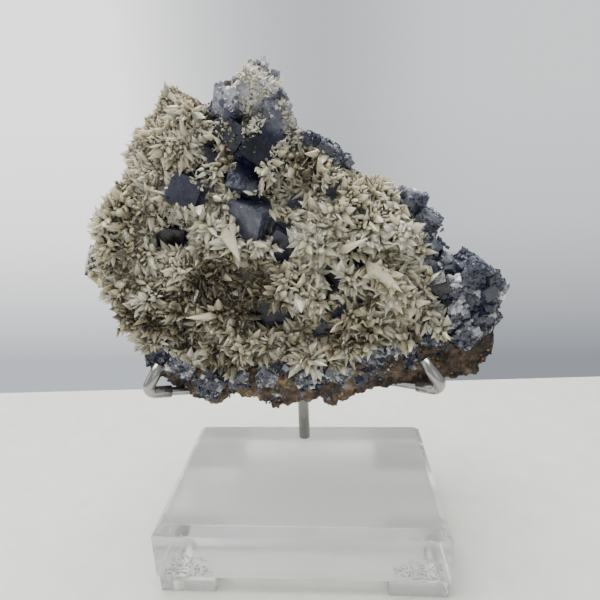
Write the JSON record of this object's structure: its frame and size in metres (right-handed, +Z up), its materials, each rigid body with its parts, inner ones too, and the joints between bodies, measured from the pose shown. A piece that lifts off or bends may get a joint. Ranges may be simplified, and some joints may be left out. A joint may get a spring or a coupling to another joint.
{
  "type": "calcite with fluorite on a display stand",
  "caption": "Upright mineral specimen, cream calcite crystals over blue fluorite on brown rock, held by hooked steel arms on a clear footed block.",
  "frame": {"origin": "centre of the bounding box at the level of the feet's undersides", "axes": "+Z up, +X to the specimen's right as a viewer sees it, -Y towards the viewer"},
  "size_m": [0.194, 0.085, 0.2213],
  "materials": {
    "rock": "rough brown iron-stained stone",
    "fluorite": "glossy blue-grey crystal",
    "calcite": "satin cream crystal",
    "acrylic": "polished clear",
    "steel": "brushed",
    "vinyl": "clear soft tube"
  },
  "bodies": {
    "root": {"matrix": "rock", "fluorite": "fluorite", "calcite": "calcite", "base_block": "acrylic", "foot_front_left": "acrylic", "foot_front_right": "acrylic", "foot_back_left": "acrylic", "foot_back_right": "acrylic", "post": "steel", "arm_left": "steel", "arm_right": "steel", "arm_back": "steel", "sleeve_left": "vinyl", "sleeve_right": "vinyl"}
  },
  "joints": []
}
